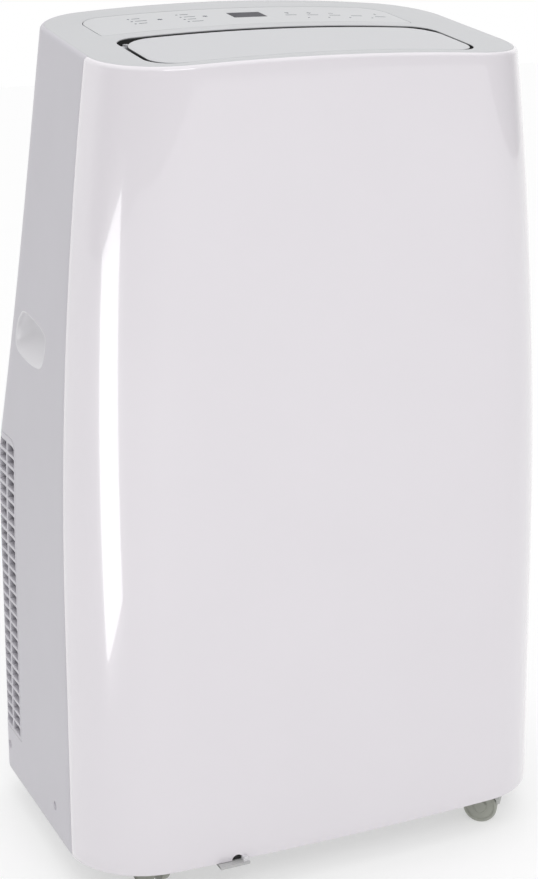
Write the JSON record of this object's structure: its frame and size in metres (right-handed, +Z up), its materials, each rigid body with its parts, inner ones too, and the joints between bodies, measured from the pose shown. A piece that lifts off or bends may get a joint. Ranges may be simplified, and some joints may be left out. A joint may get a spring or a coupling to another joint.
{
  "type": "portable air conditioner",
  "caption": "Free-standing room air conditioner on casters with a motorised top outlet flap, guide vanes, side handles, rear intake grilles and a round exhaust port.",
  "frame": {"origin": "floor level, at the centre of the footprint box", "axes": "+Z up, -Y towards the glossy front, +X to the right seen from the front"},
  "size_m": [0.43, 0.316, 0.7195],
  "materials": {
    "front_gloss": "high gloss moulded white plastic",
    "casing_satin": "fine satin moulded light grey-white plastic",
    "top_satin": "satin light grey plastic",
    "pan_plastic": "moulded grey plastic",
    "flap_satin": "satin light grey plastic",
    "filter_mesh": "dark nylon mesh in a plastic frame",
    "inner_plastic": "moulded grey plastic",
    "duct_plastic": "dark grey moulded plastic",
    "fan_plastic": "black glass-filled plastic",
    "motor_steel": "black painted steel",
    "compressor_paint": "black enamelled steel",
    "rubber_black": "black rubber",
    "copper": "drawn copper tube",
    "fin_aluminium": "stamped aluminium fins",
    "vane_plastic": "light grey plastic",
    "small_motor": "zinc plated steel can",
    "circuit_board": "green laminate",
    "overlay_film": "printed satin overlay",
    "dark_lens": "smoked glossy lens",
    "fitting_plastic": "grey plastic fitting",
    "plug_rubber": "grey rubber plug",
    "screw_steel": "zinc plated steel",
    "caster_hood": "grey moulded plastic",
    "caster_wheel": "grey translucent polyurethane"
  },
  "bodies": {
    "casing": {"front_panel": "front_gloss", "rear_casing": "casing_satin", "top_cover": "top_satin", "base_pan": "pan_plastic", "handle_cup_left": "casing_satin", "handle_cup_right": "casing_satin", "lower_grille_left": "casing_satin", "lower_grille_right": "casing_satin", "exhaust_collar": "casing_satin", "exhaust_duct": "inner_plastic", "condenser_volute": "inner_plastic", "evaporator_volute": "inner_plastic", "outlet_duct": "duct_plastic", "condenser_fan_motor": "motor_steel", "evaporator_fan_motor": "motor_steel", "slinger_motor": "motor_steel", "compressor": "compressor_paint", "accumulator": "compressor_paint", "compressor_grommets": "rubber_black", "refrigerant_pipes": "copper", "capillary_tube": "copper", "filter_drier": "copper", "condenser_coil": "fin_aluminium", "evaporator_coil": "fin_aluminium", "partition_tray": "inner_plastic", "vane_motor": "small_motor", "flap_motor": "small_motor", "control_box": "inner_plastic", "main_board": "circuit_board", "display_board": "circuit_board", "run_capacitor": "small_motor", "control_overlay": "overlay_film", "display_window": "dark_lens", "power_inlet_gland": "fitting_plastic", "drain_spouts": "fitting_plastic", "cord_hooks": "casing_satin", "casing_screws": "screw_steel", "caster_sockets": "fitting_plastic"},
    "outlet_flap": {"outlet_flap": "flap_satin"},
    "vane_tie_bar": {"vane_tie_bar": "vane_plastic"},
    "condenser_blower": {"condenser_blower_wheel": "fan_plastic"},
    "evaporator_blower": {"evaporator_blower_wheel": "fan_plastic"},
    "slinger": {"slinger_wheel": "fan_plastic"},
    "upper_grille": {"upper_grille": "casing_satin", "upper_filter": "filter_mesh"},
    "upper_plug": {"upper_drain_plug": "plug_rubber"},
    "lower_plug": {"lower_drain_plug": "plug_rubber"},
    "vane_1": {"guide_vane_1": "vane_plastic"},
    "vane_2": {"guide_vane_2": "vane_plastic"},
    "vane_3": {"guide_vane_3": "vane_plastic"},
    "vane_4": {"guide_vane_4": "vane_plastic"},
    "vane_5": {"guide_vane_5": "vane_plastic"},
    "yoke_front_left": {"caster_yoke_front_left": "caster_hood"},
    "wheels_front_left": {"caster_wheels_front_left": "caster_wheel"},
    "yoke_front_right": {"caster_yoke_front_right": "caster_hood"},
    "wheels_front_right": {"caster_wheels_front_right": "caster_wheel"},
    "yoke_rear_left": {"caster_yoke_rear_left": "caster_hood"},
    "wheels_rear_left": {"caster_wheels_rear_left": "caster_wheel"},
    "yoke_rear_right": {"caster_yoke_rear_right": "caster_hood"},
    "wheels_rear_right": {"caster_wheels_rear_right": "caster_wheel"}
  },
  "joints": [
    {"name": "flap_hinge", "type": "hinge", "parent": "casing", "child": "outlet_flap", "pos_m": [-0.008, -0.06, 0.6926], "axis": [-1, 0, 0], "range_deg": [0, 60]},
    {"name": "vane_1_swing", "type": "hinge", "parent": "casing", "child": "vane_1", "pos_m": [-0.08, -0.085, 0.6566], "axis": [0, 1, 0], "range_deg": [-35, 35]},
    {"name": "vane_2_swing", "type": "hinge", "parent": "casing", "child": "vane_2", "pos_m": [-0.04, -0.085, 0.6566], "axis": [0, 1, 0], "range_deg": [-35, 35]},
    {"name": "vane_3_swing", "type": "hinge", "parent": "casing", "child": "vane_3", "pos_m": [0, -0.085, 0.6566], "axis": [0, 1, 0], "range_deg": [-35, 35]},
    {"name": "vane_4_swing", "type": "hinge", "parent": "casing", "child": "vane_4", "pos_m": [0.04, -0.085, 0.6566], "axis": [0, 1, 0], "range_deg": [-35, 35]},
    {"name": "vane_5_swing", "type": "hinge", "parent": "casing", "child": "vane_5", "pos_m": [0.08, -0.085, 0.6566], "axis": [0, 1, 0], "range_deg": [-35, 35]},
    {"name": "tie_bar_pivot", "type": "hinge", "parent": "vane_1", "child": "vane_tie_bar", "pos_m": [-0.08, -0.085, 0.6406], "axis": [0, 1, 0], "range_deg": [-35, 35]},
    {"name": "evaporator_blower_spin", "type": "hinge", "parent": "casing", "child": "evaporator_blower", "pos_m": [0, -0.085, 0.4746], "axis": [0, 1, 0], "continuous": true},
    {"name": "condenser_blower_spin", "type": "hinge", "parent": "casing", "child": "condenser_blower", "pos_m": [-0.07, 0.021, 0.1486], "axis": [0, 1, 0], "continuous": true},
    {"name": "slinger_spin", "type": "hinge", "parent": "casing", "child": "slinger", "pos_m": [0.13, 0.067, 0.0826], "axis": [0, 1, 0], "continuous": true},
    {"name": "upper_grille_pull", "type": "slide", "parent": "casing", "child": "upper_grille", "axis": [0, 1, 0], "range_m": [0, 0.09]},
    {"name": "upper_plug_pull", "type": "slide", "parent": "casing", "child": "upper_plug", "axis": [0, 1, 0], "range_m": [0, 0.03]},
    {"name": "lower_plug_pull", "type": "slide", "parent": "casing", "child": "lower_plug", "axis": [0, 1, 0], "range_m": [0, 0.03]},
    {"name": "swivel_front_left", "type": "hinge", "parent": "casing", "child": "yoke_front_left", "pos_m": [-0.149, -0.113, 0.0436], "axis": [0, 0, 1], "continuous": true},
    {"name": "roll_front_left", "type": "hinge", "parent": "yoke_front_left", "child": "wheels_front_left", "pos_m": [-0.15108, -0.10118, 0.015], "axis": [-0.9848, -0.1736, 0], "continuous": true},
    {"name": "swivel_front_right", "type": "hinge", "parent": "casing", "child": "yoke_front_right", "pos_m": [0.149, -0.113, 0.0436], "axis": [0, 0, 1], "continuous": true},
    {"name": "roll_front_right", "type": "hinge", "parent": "yoke_front_right", "child": "wheels_front_right", "pos_m": [0.15849, -0.12034, 0.015], "axis": [0.6115, 0.7912, 0], "continuous": true},
    {"name": "swivel_rear_left", "type": "hinge", "parent": "casing", "child": "yoke_rear_left", "pos_m": [-0.149, 0.088, 0.0436], "axis": [0, 0, 1], "continuous": true},
    {"name": "roll_rear_left", "type": "hinge", "parent": "yoke_rear_left", "child": "wheels_rear_left", "pos_m": [-0.1465, 0.09974, 0.015], "axis": [-0.9781, 0.2079, 0], "continuous": true},
    {"name": "swivel_rear_right", "type": "hinge", "parent": "casing", "child": "yoke_rear_right", "pos_m": [0.149, 0.088, 0.0436], "axis": [0, 0, 1], "continuous": true},
    {"name": "roll_rear_right", "type": "hinge", "parent": "yoke_rear_right", "child": "wheels_rear_right", "pos_m": [0.15463, 0.0986, 0.015], "axis": [-0.8829, 0.4695, 0], "continuous": true}
  ],
  "couplings": [
    {"joint": "vane_2_swing", "follows": "vane_1_swing", "ratio": 1},
    {"joint": "vane_3_swing", "follows": "vane_1_swing", "ratio": 1},
    {"joint": "vane_4_swing", "follows": "vane_1_swing", "ratio": 1},
    {"joint": "vane_5_swing", "follows": "vane_1_swing", "ratio": 1},
    {"joint": "tie_bar_pivot", "follows": "vane_1_swing", "ratio": -1}
  ]
}
